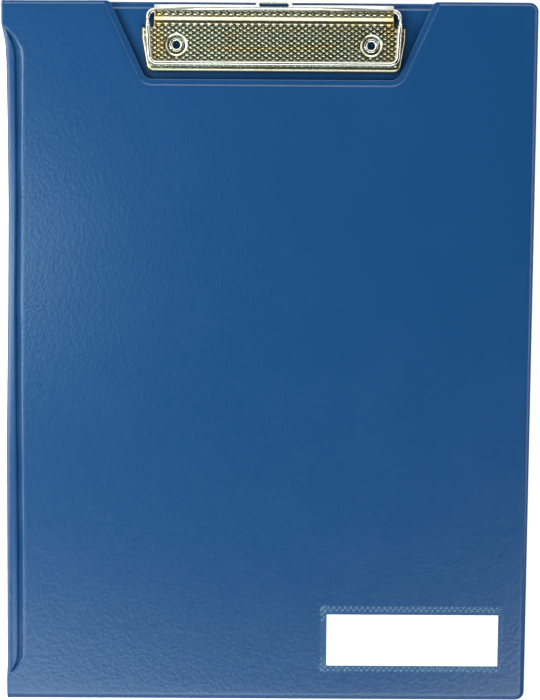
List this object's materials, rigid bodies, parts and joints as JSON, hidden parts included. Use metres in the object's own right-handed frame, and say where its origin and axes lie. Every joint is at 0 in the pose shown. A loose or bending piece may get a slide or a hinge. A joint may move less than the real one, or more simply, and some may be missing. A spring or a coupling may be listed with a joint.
{
  "type": "clipboard folder",
  "caption": "Fold-over clipboard: back board with a riveted wire bail clip, welded vinyl hinge, front cover notched around the clip, and a label pocket with a card.",
  "frame": {"origin": "middle of the back cover's resting face, halfway between the cover's long edges and short edges", "axes": "+Z out of the front cover, +Y towards the clip, +X from the hinge to the fore edge"},
  "size_m": [0.24, 0.322, 0.0105],
  "materials": {
    "blue_vinyl": "satin calendered PVC with a fine leather-like grain",
    "greyboard": "raw grey board",
    "clear_film": "clear PVC film with a dotted weld",
    "white_card": "smooth card",
    "nickel_sheet": "bright nickel plated sheet steel",
    "embossed_nickel": "bright nickel plated sheet steel, embossed with a staggered dot pattern",
    "polished_wire": "polished nickel plated steel"
  },
  "bodies": {
    "back_cover": {"back_outer_skin": "blue_vinyl", "back_board": "greyboard", "back_inner_skin": "blue_vinyl", "clip_base_plate": "nickel_sheet", "rivet_left": "polished_wire", "rivet_right": "polished_wire", "rivet_washer_left": "nickel_sheet", "rivet_washer_right": "nickel_sheet"},
    "spine": {"spine_outer_skin": "blue_vinyl", "spine_inner_skin": "blue_vinyl"},
    "front_cover": {"front_outer_skin": "blue_vinyl", "front_board": "greyboard", "front_inner_skin": "blue_vinyl", "label_pocket_film": "clear_film", "inside_pocket": "blue_vinyl"},
    "label": {"label_card": "white_card"},
    "bail": {"wire_bail": "polished_wire"},
    "jaw": {"clip_jaw_plate": "embossed_nickel"}
  },
  "joints": [
    {"name": "back_fold", "type": "hinge", "parent": "back_cover", "child": "spine", "pos_m": [-0.11965, 0, 0.00135], "axis": [0, -1, 0], "range_deg": [0, 180]},
    {"name": "cover_fold", "type": "hinge", "parent": "spine", "child": "front_cover", "pos_m": [-0.11965, 0, 0.00515], "axis": [0, -1, 0], "range_deg": [0, 180]},
    {"name": "label_slide", "type": "slide", "parent": "front_cover", "child": "label", "axis": [1, 0, 0], "range_m": [0, 0.082]},
    {"name": "bail_pivot", "type": "hinge", "parent": "back_cover", "child": "bail", "pos_m": [0.0018, 0.1557, 0.00533], "axis": [-1, 0, 0], "range_deg": [0, 110]},
    {"name": "jaw_pivot", "type": "hinge", "parent": "back_cover", "child": "jaw", "pos_m": [0.0018, 0.1557, 0.00533], "axis": [-1, 0, 0], "range_deg": [0, 12]}
  ],
  "couplings": [
    {"joint": "jaw_pivot", "follows": "bail_pivot", "ratio": 0.109}
  ]
}
